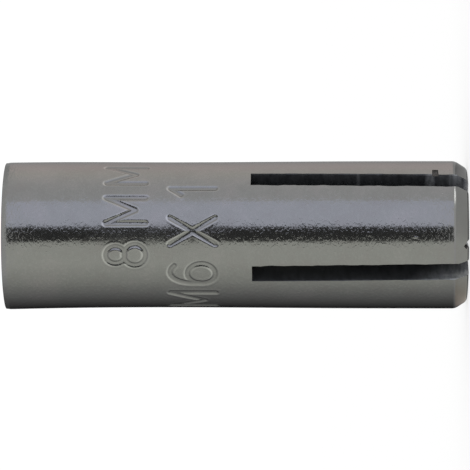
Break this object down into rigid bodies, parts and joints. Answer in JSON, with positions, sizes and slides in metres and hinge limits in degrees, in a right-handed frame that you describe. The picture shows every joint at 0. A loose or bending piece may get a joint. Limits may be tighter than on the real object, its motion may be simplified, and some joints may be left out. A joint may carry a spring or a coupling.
{
  "type": "drop in anchor",
  "caption": "Internally threaded steel sleeve with a slotted, chamfered nose and a loose wedge plug inside; dropped into a drilled hole and set by hammer to take a bolt.",
  "frame": {"origin": "centre of the nose's flat end, on the sleeve's axis; the anchor stands on its nose", "axes": "+Z along the sleeve's axis from the nose to the threaded mouth; -Y is the side that carries the size marks"},
  "size_m": [0.008, 0.008, 0.025],
  "materials": {
    "zinc_plated_steel": "satin zinc plating",
    "plug_steel": "plain turned steel"
  },
  "bodies": {
    "root": {"sleeve": "zinc_plated_steel", "expander_plug": "plug_steel"}
  },
  "joints": []
}
